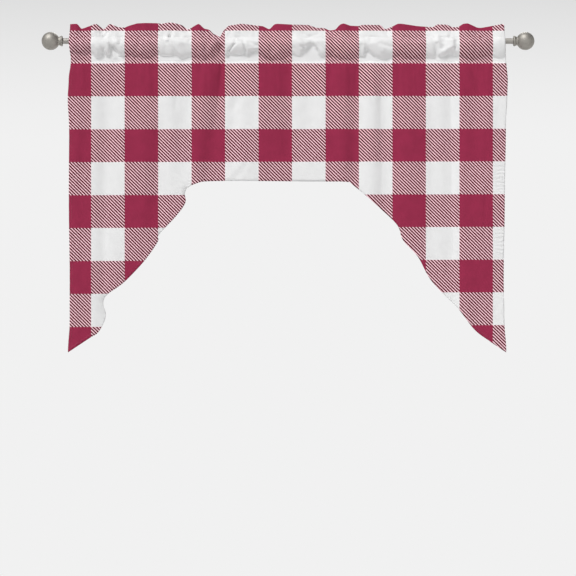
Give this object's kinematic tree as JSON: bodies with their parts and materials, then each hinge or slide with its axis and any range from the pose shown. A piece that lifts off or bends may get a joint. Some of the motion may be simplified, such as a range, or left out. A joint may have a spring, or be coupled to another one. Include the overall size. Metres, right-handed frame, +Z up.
{
  "type": "window valance on curtain rod",
  "caption": "Swag window valance in red and white buffalo check with a ruffled header, scooped arch and pointed tails, gathered on a round metal curtain rod with ball finials.",
  "frame": {"origin": "the rod's axis, at the middle of its length", "axes": "+X along the rod towards its right end as seen from the room, +Y from the room towards the window, +Z up"},
  "size_m": [1.3686, 0.05, 0.9151],
  "materials": {
    "cloth": "thin matte printed polyester, crimson and white check",
    "rod": "brushed nickel",
    "finial": "brushed nickel"
  },
  "bodies": {
    "root": {"valance": "cloth", "rod": "rod", "finial_left": "finial", "finial_right": "finial"}
  },
  "joints": []
}
